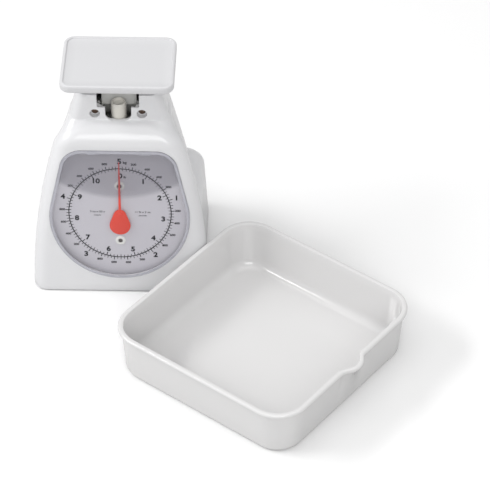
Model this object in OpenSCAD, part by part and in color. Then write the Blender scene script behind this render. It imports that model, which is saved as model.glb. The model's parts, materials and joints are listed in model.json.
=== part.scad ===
// Mechanical kitchen scale with a leaning dial, and the square weighing bowl that stands beside it.
// Millimetres. Origin: centre of the housing's foot, on the surface that the feet stand on.
// +X is to the right of someone reading the dial, +Y is towards the back and +Z is up.

/* [Dial] */
// Diameter of the printed ring on the dial
dial_ring_d = 92.8; // [84:0.1:112]
// Clear band between the printed ring and the edge of the window
window_band = 17.4; // [14:0.1:22]
// Radius of the window's two upper corners
window_corner_r = 20; // [14:0.5:26]
// Length of the window's straight upper edge
window_flat = 67; // [56:0.5:80]
// How much further the window reaches above the dial's centre than its side does
window_rise = 4.4; // [2:0.1:8]
// Face below the window, measured along the slope
chin = 15.2; // [12:0.1:22]
// Lean of the dial face back from upright, in degrees
face_lean = 9.5; // [6:0.1:12]
// Depth of the dial card's face behind the housing's face
dial_depth = 6; // [5.6:0.1:8]
// Thickness of the dial card
dial_t = 1; // [0.6:0.1:1.5]
// Distance between the two dial screws
dial_screw_gap = 57; // [50:0.5:64]
// Distance from the pointer's pivot to the needle's tip
pointer_l = 54.5; // [50:0.5:58]

/* [Housing] */
// Face beside the window, on each side
side_margin = 16.6; // [14:0.1:26]
// Depth of the housing at its foot
base_d = 131; // [124:1:160]
// Wall of the housing
wall = 2.2; // [1.8:0.1:2.8]
// Gap between the housing's edge and the floor
foot_gap = 1.2; // [1:0.1:3]
// Radius of the front corners seen from above
front_corner_r = 12; // [10:0.5:16]
// Radius of the rear corners seen from above
rear_corner_r = 16; // [12:0.5:20]
// Radius of the brow above the window
brow_r = 21; // [18:0.5:26]
// How much narrower each side of the hood is at the brow than at the foot
hood_taper = 22; // [16:0.5:26]
// Height of the rear skirt under its rounded shoulder
skirt_h = 62; // [52:1:68]
// Radius of the skirt's shoulder
shoulder_r = 18; // [10:0.5:20]
// Width of the tower at its top
tower_w = 74; // [70:1:88]
// Depth of the tower at its top
tower_d = 60; // [58:1:74]
// How much narrower each side of the tower is at its back
tower_narrowing = 4; // [0:0.5:6]
// Radius of the tower's rear corners
tower_back_r = 15; // [10:0.5:16]
// Distance from the centre to the tower's front
tower_front = 24; // [22:0.5:30]
// Height of the tower above the top of the brow
tower_rise = 27.5; // [25:0.5:36]
// Diameter of the rubber feet
foot_d = 13; // [9:0.5:18]

/* [Platform] */
// Width of the platform
platform_w = 101; // [84:1:122]
// Depth of the platform
platform_d = 75.6; // [66:0.2:96]
// Height of the platform's edge
platform_t = 7.2; // [6.5:0.1:10]
// Width of the raised rim round the platform
rim_w = 3; // [2:0.1:5]
// Gap between the tower and the platform's edge with no load
platform_gap = 12.4; // [11.8:0.1:16]

/* [Mechanism] */
// Platform travel that turns the pointer once round
dial_stroke = 10; // [9.4:0.1:10.8]
// Platform travel down to its stop
load_travel = 10.4; // [9.8:0.1:11]
// Length of the guide levers
lever_l = 28.5; // [26:0.5:29]
// Sheet metal of the carriage
sheet_t = 1.2; // [1:0.1:1.5]
// Width of the carriage channel
carriage_w = 31.2; // [28:0.2:34]
// Diameter of the zero knob
knob_d = 13.8; // [11.6:0.1:16]
// Diameter of the zero screw
zero_screw_d = 4; // [3.4:0.1:4.8]
// Middle diameter of the two weighing springs
spring_d = 7; // [6:0.1:8]
// Wire of the weighing springs
spring_wire = 1; // [0.8:0.05:1.2]
// Turns in each weighing spring
spring_turns = 13; // [10:1:15]
// Teeth on the pinion
pinion_teeth = 10; // [8:1:12]
// Diameter of the pointer's shaft
shaft_d = 2; // [1.7:0.1:2.4]

/* [Bowl] */
// Side of the bowl over its lip
bowl_side = 200; // [168:1:206]
// Height of the bowl
bowl_h = 49; // [42:0.5:60]
// Radius of the bowl's corners at the lip
bowl_corner_r = 30; // [22:0.5:40]
// Wall of the bowl
bowl_wall = 2; // [1.6:0.1:3]
// How much each side leans in between the lip and the floor
bowl_draft = 3; // [2:0.1:6]
// Outer radius between the bowl's side and its floor
bowl_floor_r = 5; // [3:0.5:8]
// Inner radius between the bowl's side and its floor
bowl_fillet = 9; // [6:0.5:14]
// Width of the bowl's rolled lip
lip_w = 3.4; // [2.6:0.1:4.4]
// Width of the spout at the lip
spout_w = 32; // [24:0.5:40]
// How far the spout stands out from the lip
spout_out = 7; // [4:0.5:9]

/* [Hidden] */

$fn = 48;
eps = 0.01;
// Gap between pieces that are fitted together
fit = 0.1;

// Window and dial, measured along the leaning face from the housing's front foot edge.
// A radius is centred slightly below the dial so that the face below the window stays even.
window_r = dial_ring_d / 2 + window_band;
window_drop = 1.5;
dial_w = chin + window_r + window_drop;
window_top = window_r + window_rise;
window_corner_x = window_flat / 2;
window_corner_y = window_top - window_corner_r;

// Housing heights and widths that follow from the window
face_y = -base_d / 2;
half_w = window_r + side_margin;
brow_z = (dial_w + window_top) * cos(face_lean) + 0.6;
hood_h = brow_z + brow_r;
tower_h = hood_h + tower_rise;
skirt_set = 1.2;
tower_corner_r = 10;

// Top notch of the tower, seen from the front
notch_w = carriage_w + 6.6;
notch_z = tower_h - 13.5;
thumb_w = knob_d + 9.5;
thumb_z = hood_h + 0.5;
fix_x = 21;
fix_z = tower_h - 20.4;
fix_hole_d = 3.4;
fix_seat_d = 11;
fix_seat_depth = 5;
fix_boss_l = 6.8;

// Platform
platform_z = tower_h + platform_gap;
platform_top = platform_z + platform_t;
recess = 1;
deck_t = 2.4;
deck_z = platform_top - recess - deck_t;
platform_corner_r = 10;

// Mechanism heights, from the tower down
bridge_z = hood_h - 2.6;
frame_t = 1.5;
knob_y = -tower_front + knob_d / 2 + 1.15;
knob_h = 17.5;
hanger_z = bridge_z - 16;
hanger_h = 6;
carriage_y = -tower_front + 15.5;
carriage_back = carriage_y + 14.5;
foot_z = 70;
lug_z = platform_z - 0.2;
spring_x = 5.5;
spring_hole = spring_wire + 0.3;
pin_d = 3;
pin_hole = pin_d + 0.12;
lever_rest = asin(load_travel / 2 / lever_l);
pin_y = carriage_back - 5.8;
lever_y = pin_y + lever_l * (1 + cos(lever_rest)) / 2;
upper_z = hood_h - 24;
lower_z = foot_z + 3;
lever_x = carriage_w / 2 + 1;
ear_x = carriage_w / 2 + 9;
ear_t = 1.5;
frame_back = lever_y + 4.8;
apron_z = tower_h - 21.5;

// Rack and pinion: one turn of the pinion for one dial_stroke of the platform
module_p = dial_stroke * cos(face_lean) / PI / pinion_teeth;
pinion_r = pinion_teeth * module_p / 2;
pitch = module_p * PI;
backlash = 0.07;
rack_add = 0.17;
pinion_add = 0.24;
rack_n = -dial_depth - 8.3;
rack_t = 1.5;
carrier_n = -dial_depth - 5.8;
carrier_t = 1.5;
bridge_n = -dial_depth - 15;
rack_up = load_travel + 4.5;

function face_n(y, z) = -(y - face_y) * cos(face_lean) + z * sin(face_lean);
function front_y(z) = face_y + z * tan(face_lean);
function hood_half(z) = half_w - hood_taper * pow(z / brow_z, 2);
function tower_half(z) = tower_w / 2 + 0.48 * pow(tower_h - z, 0.84);
function tower_rear(z) = tower_d - tower_front + 0.14 * (tower_h - z);
function skirt_half(z) = half_w - 4 - 0.05 * z;
function skirt_rear(z) = base_d / 2 - 0.08 * z;

// Places something on the leaning face: X across, Y up the slope, Z out of the face
module on_face() {
    translate([0, face_y, 0]) rotate([90 - face_lean, 0, 0]) children();
}

// Places something about the dial's centre, with Z out of the face
module on_dial() {
    on_face() translate([0, dial_w, 0]) children();
}

// Flat shape of a rounded rectangle about the origin
module round_rect(w, d, r) {
    square([w - 2 * r, d], center = true);
    square([w, d - 2 * r], center = true);
    for (x = [-1, 1], y = [-1, 1]) translate([x * (w / 2 - r), y * (d / 2 - r)]) circle(r);
}

// Thin rounded slice of the housing at height z, used to span a smooth form
module slice(z, front_half, y0, front_r, rear_half, y1, rear_r, inset) {
    for (x = [-1, 1]) {
        translate([x * (front_half - front_r), y0 + front_r, z])
            cylinder(r = front_r - inset, h = eps, $fn = 32);
        translate([x * (rear_half - rear_r), y1 - rear_r, z])
            cylinder(r = rear_r - inset, h = eps, $fn = 32);
    }
}

// Low rear part of the housing, with its rounded shoulder
module skirt_form(inset, bottom) {
    hull() {
        slice(bottom, skirt_half(0), front_y(0) + skirt_set, rear_corner_r,
              skirt_half(0), skirt_rear(0), rear_corner_r, inset);
        for (a = [0 : 15 : 75]) {
            z = skirt_h + (shoulder_r - inset) * sin(a);
            back = shoulder_r * (1 - cos(a));
            slice(z, skirt_half(skirt_h) - back, front_y(skirt_h) + skirt_set + back,
                  rear_corner_r, skirt_half(skirt_h) - back, skirt_rear(skirt_h) - back,
                  rear_corner_r, inset);
        }
    }
}

// Front part of the housing, which carries the leaning face and the brow
module hood_form(inset, bottom) {
    hull() {
        for (z = [bottom, brow_z * 0.3, brow_z * 0.55, brow_z * 0.75, brow_z * 0.9])
            slice(z, hood_half(max(z, 0)), front_y(z), front_corner_r,
                  min(hood_half(max(z, 0)) - 4, tower_half(z) - 3), 8, front_corner_r - 2, inset);
        for (a = [0 : 15 : 75]) {
            z = brow_z + (brow_r - inset) * sin(a);
            back = brow_r * (1 - cos(a));
            slice(z, hood_half(brow_z) - back - 0.47 * brow_r * sin(a), front_y(brow_z) + back,
                  front_corner_r, tower_half(z) - 7, 8, front_corner_r - 2, inset);
        }
    }
}

// Tapering tower that carries the mechanism up to the platform
module tower_form(inset, bottom) {
    hull() {
        for (t = [0, 0.1, 0.25, 0.45, 0.7, 1]) {
            z = tower_h - inset - eps - t * (tower_h - inset - eps - bottom);
            slice(z, tower_half(z + inset), -tower_front, tower_corner_r,
                  tower_half(z + inset) - tower_narrowing, tower_rear(z), tower_back_r, inset);
        }
    }
}

// Window outline: a round lower part, joined by straight sides to two upper corners
module window_shape(grow) {
    reach = norm([window_corner_x, window_corner_y + window_drop]);
    side = atan2(window_corner_y + window_drop, window_corner_x)
         - acos((window_r - window_corner_r) / reach);
    big = window_r + grow;
    small = window_corner_r + grow;
    translate([0, -window_drop]) circle(big, $fn = 96);
    for (x = [-1, 1]) translate([x * window_corner_x, window_corner_y]) circle(small);
    polygon([
        [-big * cos(side), big * sin(side) - window_drop],
        [0, -window_drop],
        [big * cos(side), big * sin(side) - window_drop],
        [window_corner_x + small * cos(side), window_corner_y + small * sin(side)],
        [window_corner_x, window_corner_y + small],
        [-window_corner_x, window_corner_y + small],
        [-window_corner_x - small * cos(side), window_corner_y + small * sin(side)]
    ]);
}

// Screw with a domed head, axis along +Z with its head's seat at z = 0
module screw(d, head_d, head_h, length) {
    difference() {
        rotate_extrude($fn = 32) polygon([
            [0, -length], [d / 2 - 0.4, -length], [d / 2, -length + 0.8], [d / 2, 0],
            [head_d / 2, 0], [head_d / 2, head_h * 0.4], [head_d / 2 * 0.7, head_h * 0.85],
            [head_d / 2 * 0.3, head_h], [0, head_h]
        ]);
        for (a = [0, 90]) rotate([0, 0, a]) translate([0, 0, head_h])
            cube([head_d * 0.6, head_d * 0.14, head_h], center = true);
    }
}

base_screw_places = [for (x = [-1, 1], y = [0, 1])
    [x * (half_w - 14.5), y == 0 ? face_y + 19 : base_d / 2 - 21]];
base_boss_h = 34;
base_plate_t = 2.5;
boss_base = foot_gap + base_plate_t;

module housing() {
    color("white") difference() {
        union() {
            difference() {
                union() {
                    skirt_form(0, foot_gap);
                    hood_form(0, foot_gap);
                    tower_form(0, skirt_h - 10);
                }
                skirt_form(wall, foot_gap - 1);
                hood_form(wall, foot_gap - 1);
                tower_form(wall, skirt_h - 12);
            }
            // Bosses for the screws from below, each held by a rib to the side wall
            for (p = base_screw_places) {
                translate([p[0], p[1], boss_base]) cylinder(d = 9, h = base_boss_h);
                top = base_boss_h + boss_base;
                side = (p[1] < 0 ? hood_half(top) : skirt_half(top)) - wall / 2 - abs(p[0]);
                translate([p[0] > 0 ? p[0] : p[0] - side, p[1] - 1, boss_base])
                    cube([side, 2, base_boss_h]);
            }
            // Bosses behind the two front screws
            for (x = [-1, 1]) translate([x * fix_x, -tower_front + 1, fix_z])
                rotate([-90, 0, 0]) cylinder(d = fix_seat_d + 3, h = fix_boss_l);
        }
        // Window, with a ledge that the lens seats on
        on_dial() translate([0, 0, -1.2]) linear_extrude(10) window_shape(0);
        on_dial() translate([0, 0, -8]) linear_extrude(10) window_shape(-2);
        // Opening for the carriage and the knob
        translate([-notch_w / 2, -tower_front - 5, notch_z])
            cube([notch_w, carriage_back + tower_front + 5 + 4, tower_h]);
        translate([0, knob_y, bridge_z - 1]) cylinder(d = knob_d + 1, h = 12);
        translate([0, knob_y + knob_d / 2 + 2, thumb_z + 15]) rotate([90, 0, 0])
            linear_extrude(tower_front + 20) round_rect(thumb_w, 30, 6);
        for (x = [-1, 1]) translate([x * fix_x, 0, fix_z]) rotate([90, 0, 0]) {
            cylinder(d = fix_hole_d, h = tower_front + 5);
            translate([0, 0, tower_front - fix_seat_depth]) cylinder(d = fix_seat_d, h = 12);
        }
        // Pilot holes for the screws from below
        for (p = base_screw_places) translate([p[0], p[1], foot_gap])
            cylinder(d = 2.7, h = 20);
    }
}

plate_edge = wall + 1.2;
carrier_foot_y = front_y(boss_base) + (dial_depth + 5.8) / cos(face_lean);
frame_foot_y = frame_back - 14;
frame_screw_places = concat(
    [for (x = [-1, 1]) [x * 18, carrier_foot_y + 8]],
    [for (x = [-1, 1]) [x * 14, frame_foot_y + 5]]
);
foot_places = [for (x = [-1, 1], y = [-1, 1]) [x * (half_w - 30), y * (base_d / 2 - 18)]];

module base_plate() {
    color("gainsboro") difference() {
        union() {
            translate([0, 0, foot_gap]) linear_extrude(base_plate_t)
                round_rect(2 * (skirt_half(0) - plate_edge), base_d - 2 * plate_edge,
                           rear_corner_r - 2);
            for (p = frame_screw_places) translate([p[0], p[1], boss_base - eps])
                cylinder(d = 8, h = 4 + eps);
        }
        for (p = base_screw_places) translate([p[0], p[1], foot_gap - 1])
            cylinder(d = 3.6, h = 10);
        for (p = foot_places) translate([p[0], p[1], foot_gap - 1]) cylinder(d = 6, h = 10);
        for (p = frame_screw_places) translate([p[0], p[1], foot_gap + 1])
            cylinder(d = 2.6, h = 12);
    }
}

module feet() {
    color("dimgray") for (p = foot_places) translate([p[0], p[1], 0]) {
        rotate_extrude() polygon([
            [0, 0], [foot_d / 2 - 0.8, 0], [foot_d / 2, 0.8], [foot_d / 2, foot_gap],
            [3, foot_gap], [3, boss_base], [4, boss_base], [3, boss_base + 1.6], [0, boss_base + 1.6]
        ]);
    }
}

module base_screws() {
    color("silver") for (p = base_screw_places) translate([p[0], p[1], foot_gap])
        rotate([180, 0, 0]) screw(2.7, 6, 1.2, 14);
}

module housing_screws() {
    color("silver") for (x = [-1, 1])
        translate([x * fix_x, -tower_front + fix_seat_depth, fix_z])
            rotate([90, 0, 0]) screw(2.9, 6.2, 2, 9);
}

lens_t = 1.4;
lens_n = -1.2;
lens_rim = 1;

module lens() {
    color([0.9, 0.95, 1, 0.35]) on_dial() {
        difference() {
            translate([0, 0, lens_n]) linear_extrude(lens_rim - lens_n) window_shape(-fit * 2);
            translate([0, 0, lens_n + lens_t]) linear_extrude(5) window_shape(-3);
        }
        // Lugs that snap behind the ledge
        for (x = [-1, 1]) translate([x * 24 - 4, window_top - 4.6, lens_n - 3.4])
            cube([8, 1.2, 3.4 + eps]);
        for (x = [-1, 1]) translate([x * 14 - 4, -window_r - window_drop + 5.6, lens_n - 3.4])
            cube([8, 1.2, 3.4 + eps]);
    }
}

module dial_plate() {
    color("lavender") on_dial() translate([0, 0, -dial_depth - dial_t]) difference() {
        linear_extrude(dial_t) window_shape(2);
        translate([0, 0, -1]) cylinder(d = shaft_d + 3, h = 5);
        for (y = [-1, 1]) translate([0, y * dial_screw_gap / 2, -1]) cylinder(d = 3.2, h = 5);
    }
}

module dial_screws() {
    color("white") on_dial() for (y = [-1, 1])
        translate([0, y * dial_screw_gap / 2, -dial_depth])
            screw(2.9, 7, 1.2, 7);
}

carrier_half = 27;
carrier_top = dial_w + dial_screw_gap / 2 + 8;

module dial_carrier() {
    color("silver") difference() {
        union() {
            intersection() {
                on_face() translate([-carrier_half, 0, carrier_n - carrier_t])
                    cube([2 * carrier_half, carrier_top, carrier_t]);
                translate([-50, -base_d, boss_base + 4]) cube([100, base_d, 300]);
            }
            translate([-carrier_half, carrier_foot_y - 1, boss_base + 4])
                cube([2 * carrier_half, 15, carrier_t]);
            // Posts that carry the dial card
            on_dial() for (y = [-1, 1])
                translate([0, y * dial_screw_gap / 2, carrier_n - eps])
                    cylinder(d = 8, h = -dial_depth - dial_t - carrier_n + eps);
            on_dial() translate([0, 0, carrier_n - eps]) cylinder(d = 7, h = 1.8);
        }
        on_dial() translate([0, 0, -40]) cylinder(d = shaft_d + 0.1, h = 60);
        on_dial() for (y = [-1, 1]) translate([0, y * dial_screw_gap / 2, -30])
            cylinder(d = 2.9, h = 40);
        for (x = [-1, 1]) translate([x * 18, carrier_foot_y + 8, 0]) cylinder(d = 3.2, h = 20);
    }
}

bridge_leg_x = -8;
bridge_half = 12;
bridge_t = 1.4;

module pinion_bridge() {
    color("silver") on_dial() difference() {
        union() {
            translate([bridge_leg_x - 4, -bridge_half, bridge_n])
                cube([shaft_d / 2 + 1.2 - bridge_leg_x + 4, 2 * bridge_half, bridge_t]);
            for (y = [-1, 1]) translate([bridge_leg_x - 4, y * (bridge_half - 2) - 2, bridge_n])
                cube([4, 4, carrier_n - carrier_t - bridge_n]);
        }
        translate([0, 0, bridge_n - 1]) cylinder(d = shaft_d + 0.1, h = 6);
    }
}

ear_low = boss_base + 4;
ear_high = fix_z + 8;
ear_front = -tower_front + 1 + fix_boss_l;
strip_w = 11;

// One side of the frame: a rear upright and an arm that reaches the tower's front
module frame_side() {
    difference() {
        translate([0, 0, ear_low]) rotate([90, 0, 90]) linear_extrude(ear_t) polygon([
            [frame_back - strip_w, 0], [frame_back, 0], [frame_back, ear_high - ear_low],
            [frame_back - strip_w, ear_high - ear_low], [ear_front, ear_high - ear_low],
            [ear_front, bridge_z - 6 - ear_low], [frame_back - strip_w, bridge_z - 20 - ear_low]
        ]);
        for (z = [lower_z, upper_z]) translate([-1, lever_y, z]) rotate([0, 90, 0])
            cylinder(d = pin_d + 0.04, h = ear_t + 2);
    }
}

module frame() {
    color("silver") difference() {
        union() {
            translate([ear_x, 0, 0]) frame_side();
            translate([-ear_x - ear_t, 0, 0]) frame_side();
            // Rear wall and foot
            translate([-ear_x - ear_t, frame_back - frame_t, ear_low])
                cube([2 * (ear_x + ear_t), frame_t, ear_high - ear_low]);
            translate([-ear_x - ear_t, frame_foot_y, ear_low])
                cube([2 * (ear_x + ear_t), frame_back - frame_foot_y, frame_t]);
            // Bridge that the zero screw hangs from
            translate([-ear_x - ear_t, ear_front, bridge_z - frame_t])
                cube([2 * (ear_x + ear_t), carriage_y - 1.2 - ear_front, frame_t]);
            // Tabs for the two front screws
            for (x = [-1, 1]) translate([x > 0 ? fix_x - 4.5 : -ear_x - ear_t, ear_front, fix_z - 7])
                cube([ear_x + ear_t - fix_x + 4.5, frame_t, 15]);
        }
        translate([0, knob_y, bridge_z - 5]) cylinder(d = zero_screw_d + 0.1, h = 10);
        for (x = [-1, 1]) translate([x * fix_x, ear_front - 2, fix_z]) rotate([-90, 0, 0])
            cylinder(d = 2.9, h = 6);
        for (x = [-1, 1]) translate([x * 14, frame_foot_y + 5, 0]) cylinder(d = 3.2, h = 20);
    }
}

module frame_screws() {
    color("silver") for (p = frame_screw_places)
        translate([p[0], p[1], ear_low + frame_t]) screw(2.6, 6, 1.8, 6.5);
}

module frame_pins() {
    color("silver") for (z = [lower_z, upper_z])
        translate([-ear_x - ear_t - 1.5, lever_y, z]) rotate([0, 90, 0]) {
            cylinder(d = pin_d, h = 2 * (ear_x + ear_t + 1.5));
            translate([0, 0, -1]) cylinder(d = 5, h = 2.4);
            translate([0, 0, 2 * (ear_x + ear_t + 1.5) - 1.4]) cylinder(d = 5, h = 2.4);
        }
}

spring_low = foot_z + 5;
spring_high = hanger_z - 3;
coil_steps = 12;
coil_sides = 6;
coil_last = spring_turns * coil_steps;
coil_rise = (spring_high - spring_low) / coil_last;
spring_start = foot_z - 1.5;
spring_end = hanger_z + hanger_h + 1.5;

// Centre line of the spring: a straight end, the coil, and the other straight end
spring_path = concat(
    [for (z = [spring_start, spring_start + 2, spring_low - 2]) [-spring_d / 2, 0, z]],
    [for (i = [0 : coil_last]) [
        -spring_d / 2 * cos(360 * i / coil_steps),
        -spring_d / 2 * sin(360 * i / coil_steps),
        spring_low + coil_rise * i
    ]],
    [for (z = [spring_high + 2, spring_end - 2, spring_end]) [-spring_d / 2, 0, z]]
);

// One ring of the wire about point i of the path
function wire_ring(i) = let (
        before = spring_path[max(i - 1, 0)],
        after = spring_path[min(i + 1, len(spring_path) - 1)],
        ahead = (after - before) / norm(after - before),
        here = spring_path[i],
        out = [here[0], here[1], 0] / norm([here[0], here[1]]),
        up = cross(ahead, out) / norm(cross(ahead, out))
    ) [for (j = [0 : coil_sides - 1])
        here + spring_wire / 2 * (cos(360 * j / coil_sides) * out - sin(360 * j / coil_sides) * up)];

// Spring hooked at spring_x, with its coil further out
module weighing_spring() {
    rings = len(spring_path);
    points = [for (i = [0 : rings - 1], p = wire_ring(i)) p];
    sides = [for (i = [0 : rings - 2], j = [0 : coil_sides - 1])
        let (k = (j + 1) % coil_sides)
        each [[i * coil_sides + j, i * coil_sides + k, (i + 1) * coil_sides + k],
              [i * coil_sides + j, (i + 1) * coil_sides + k, (i + 1) * coil_sides + j]]];
    ends = [
        [for (j = [coil_sides - 1 : -1 : 0]) j],
        [for (j = [0 : coil_sides - 1]) (rings - 1) * coil_sides + j]
    ];
    color("silver") translate([spring_x + spring_d / 2, knob_y, 0])
        polyhedron(points, concat(sides, ends), convexity = 6);
}

module spring_left() { mirror([1, 0, 0]) weighing_spring(); }
module spring_right() { weighing_spring(); }

boss_x = 10;
boss_y = carriage_y + 8;

module platform() {
    color("white") difference() {
        union() {
            difference() {
                translate([0, 0, platform_z]) linear_extrude(platform_t)
                    round_rect(platform_w, platform_d, platform_corner_r);
                translate([0, 0, platform_z - 1]) linear_extrude(deck_z - platform_z + 1)
                    round_rect(platform_w - 2 * wall, platform_d - 2 * wall, platform_corner_r - wall);
                translate([0, 0, platform_top - recess]) linear_extrude(recess + 1)
                    round_rect(platform_w - 2 * rim_w, platform_d - 2 * rim_w,
                               platform_corner_r - rim_w);
            }
            for (x = [-1, 1]) translate([x * boss_x, boss_y, lug_z + sheet_t])
                cylinder(d = 8, h = deck_z - lug_z - sheet_t + eps);
            // Ribs under the deck
            for (x = [-1, 1]) translate([x * (carriage_w / 2 + 3) - 0.75, -platform_d / 2 + 1,
                                         deck_z - 2.6])
                cube([1.5, platform_d - 2, 2.6 + eps]);
        }
        for (x = [-1, 1]) translate([x * boss_x, boss_y, lug_z]) cylinder(d = 2.7, h = 5);
    }
}

module platform_screws() {
    color("silver") for (x = [-1, 1]) translate([x * boss_x, boss_y, lug_z])
        rotate([180, 0, 0]) screw(2.7, 6, 1.6, 4.6);
}

arm_z = 93;
arm_h = 8;

module load_bracket() {
    outer = carriage_w / 2;
    color("silver") difference() {
        union() {
            difference() {
                translate([-outer, carriage_y, foot_z])
                    cube([carriage_w, carriage_back - carriage_y, lug_z + sheet_t - foot_z]);
                translate([-outer + sheet_t, carriage_y - 1, foot_z + sheet_t])
                    cube([carriage_w - 2 * sheet_t, carriage_back - carriage_y + 1 - sheet_t,
                          lug_z - foot_z - sheet_t]);
            }
            // Apron in front, just under the platform
            translate([-outer, carriage_y, apron_z])
                cube([carriage_w, sheet_t, lug_z + sheet_t - apron_z]);
            // Foot that the springs pull up on
            translate([-outer, knob_y - 5, foot_z])
                cube([carriage_w, carriage_y - knob_y + 5 + 1, sheet_t]);
        }
        for (x = [-1, 1]) translate([x * boss_x, boss_y, lug_z - 1]) cylinder(d = 3.1, h = 5);
        for (x = [-1, 1]) translate([x * spring_x, knob_y, foot_z - 1])
            cylinder(d = spring_hole, h = 5);
        for (z = [lower_z, upper_z]) translate([-50, pin_y, z + load_travel / 2])
            rotate([0, 90, 0]) cylinder(d = pin_d + 0.04, h = 100);
        for (y = [3, 8]) translate([0, carriage_y + y, arm_z + arm_h / 2]) rotate([0, 90, 0])
            cylinder(d = 2.4, h = 50);
    }
}

module carriage_pins() {
    reach = lever_x + sheet_t + 1.4;
    color("silver") for (z = [lower_z, upper_z])
        translate([-reach, pin_y, z + load_travel / 2]) rotate([0, 90, 0]) {
            cylinder(d = pin_d, h = 2 * reach);
            translate([0, 0, -1]) cylinder(d = 5, h = 1.4);
            translate([0, 0, 2 * reach - 0.4]) cylinder(d = 5, h = 1.4);
        }
}

rack_x0 = pinion_r + 0.9;
rack_x1 = rack_x0 + 4;
rack_top = rack_up + 10;
rack_pin_y = rack_up + 5.5;
rack_pin_x = (rack_x0 + rack_x1) / 2;
tab_t = 1.2;

// Strip from the carriage's side round the spring to the head of the rack
module rack_arm() {
    outer = carriage_w / 2;
    tab_n = rack_n - rack_t;
    color("silver") difference() {
        union() {
            translate([outer, 0, arm_z]) intersection() {
                translate([0, -base_d, 0]) cube([sheet_t, base_d + carriage_y + 11, arm_h]);
                translate([0, 0, -arm_z]) on_face() translate([-1, 0, tab_n - 300])
                    cube([4, 300, 300]);
            }
            on_dial() translate([rack_x0 - 0.4, rack_pin_y - 3.5, tab_n - tab_t])
                cube([outer + sheet_t - rack_x0 + 0.4, 7, tab_t]);
        }
        on_dial() translate([rack_pin_x, rack_pin_y, tab_n - 5]) cylinder(d = 2.04, h = 10);
        for (y = [3, 8]) translate([0, carriage_y + y, arm_z + arm_h / 2]) rotate([0, 90, 0])
            cylinder(d = 2.4, h = 50);
    }
}

module rack() {
    half_tip = pitch / 4 - backlash / 2 - rack_add * tan(20);
    half_root = half_tip + (rack_add + pinion_add + 0.1) * tan(20);
    root_x = pinion_r + pinion_add + 0.1;
    tip_x = pinion_r - rack_add;
    top_tooth = ceil(rack_up / pitch);
    color("tan") on_dial() translate([0, 0, rack_n - rack_t]) difference() {
        linear_extrude(rack_t) polygon(concat(
            [[root_x, -3], [rack_x1, -3], [rack_x1, rack_top], [root_x, rack_top]],
            [for (i = [top_tooth : -1 : -2], t = [[root_x, half_root], [tip_x, half_tip],
                                                  [tip_x, -half_tip], [root_x, -half_root]])
                [t[0], t[1] + (i + 0.5) * pitch]]
        ));
        translate([rack_pin_x, rack_pin_y, -1]) cylinder(d = 2.04, h = 5);
    }
}

module rack_pin() {
    color("silver") on_dial()
        translate([rack_pin_x, rack_pin_y, rack_n - rack_t - tab_t - 0.6]) {
            cylinder(d = 2, h = rack_t + tab_t + 1.2);
            cylinder(d = 3.4, h = 0.6);
            translate([0, 0, rack_t + tab_t + 0.6]) cylinder(d = 3.4, h = 0.6);
        }
}

// Guide lever at rest: a tube round its rear pin and an arm on each side of the carriage
module guide_lever(z) {
    tube_half = ear_x - 0.3;
    slack = 1.1;
    hole_y = norm([lever_y - pin_y, load_travel / 2]);
    translate([0, lever_y, z]) rotate([-lever_rest, 0, 0]) difference() {
        union() {
            rotate([0, 90, 0]) cylinder(d = 5.4, h = 2 * tube_half, center = true);
            for (x = [-1, 1]) translate([x * (lever_x + sheet_t / 2) - sheet_t / 2, 0, 0])
                rotate([90, 0, 90]) linear_extrude(sheet_t) {
                    translate([-hole_y, -3.5]) square([hole_y, 7]);
                    translate([-hole_y, 0]) circle(d = 7);
                }
        }
        rotate([0, 90, 0]) cylinder(d = pin_hole, h = 100, center = true);
        translate([0, -hole_y, 0]) rotate([0, 90, 0])
            cylinder(d = pin_d + slack, h = 100, center = true);
    }
}

module upper_lever() { color("silver") guide_lever(upper_z); }
module lower_lever() { color("silver") guide_lever(lower_z); }

module pinion_shaft() {
    color("silver") on_dial() translate([0, 0, bridge_n - 0.8])
        cylinder(d = shaft_d, h = -dial_depth + 3.4 - bridge_n + 0.8);
}

// Half angle that an involute tooth spans at radius r, where half is its span at the pitch line
function inv(r, base) = let (a = acos(min(1, base / r))) tan(a) * 180 / PI - a;

module pinion() {
    base = pinion_r * cos(20);
    tip = pinion_r + pinion_add;
    root = pinion_r - rack_add - 0.06;
    half = 90 / pinion_teeth - backlash / 2 / pinion_r * 180 / PI;
    radii = [for (i = [0 : 4]) base + (tip - base) * i / 4];
    flank = [for (r = radii) [r, half + inv(pinion_r, base) - inv(r, base)]];
    side = concat([[root, flank[0][1]]], flank);
    color("goldenrod") on_dial() translate([0, 0, rack_n - rack_t - 2.4]) difference() {
        linear_extrude(rack_t + 3.1) polygon([
            for (t = [0 : pinion_teeth - 1], s = [-1, 1], i = [0 : len(side) - 1])
                let (p = side[s < 0 ? i : len(side) - 1 - i], a = 360 * t / pinion_teeth + s * p[1])
                [p[0] * cos(a), p[0] * sin(a)]
        ]);
        translate([0, 0, -1]) cylinder(d = shaft_d, h = 20);
    }
}

pointer_n = -dial_depth + 2;
pointer_t = 1;
blob_y = -11.5;
blob_r = 9.5;

// Flat needle with a teardrop counterweight below its pivot
module pointer() {
    color("orangered") on_dial() translate([0, 0, pointer_n]) difference() {
        union() {
            linear_extrude(pointer_t) {
                polygon([[-1.1, 0], [-0.35, pointer_l], [0.35, pointer_l], [1.1, 0]]);
                polygon([[-3, 3.5], [3, 3.5], [blob_r, blob_y], [-blob_r, blob_y]]);
                translate([0, 3]) circle(3);
                translate([0, blob_y]) circle(blob_r);
            }
            cylinder(d = 5, h = pointer_t + 0.6);
        }
        translate([0, 0, -1]) cylinder(d = shaft_d, h = 2.5);
    }
}

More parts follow.
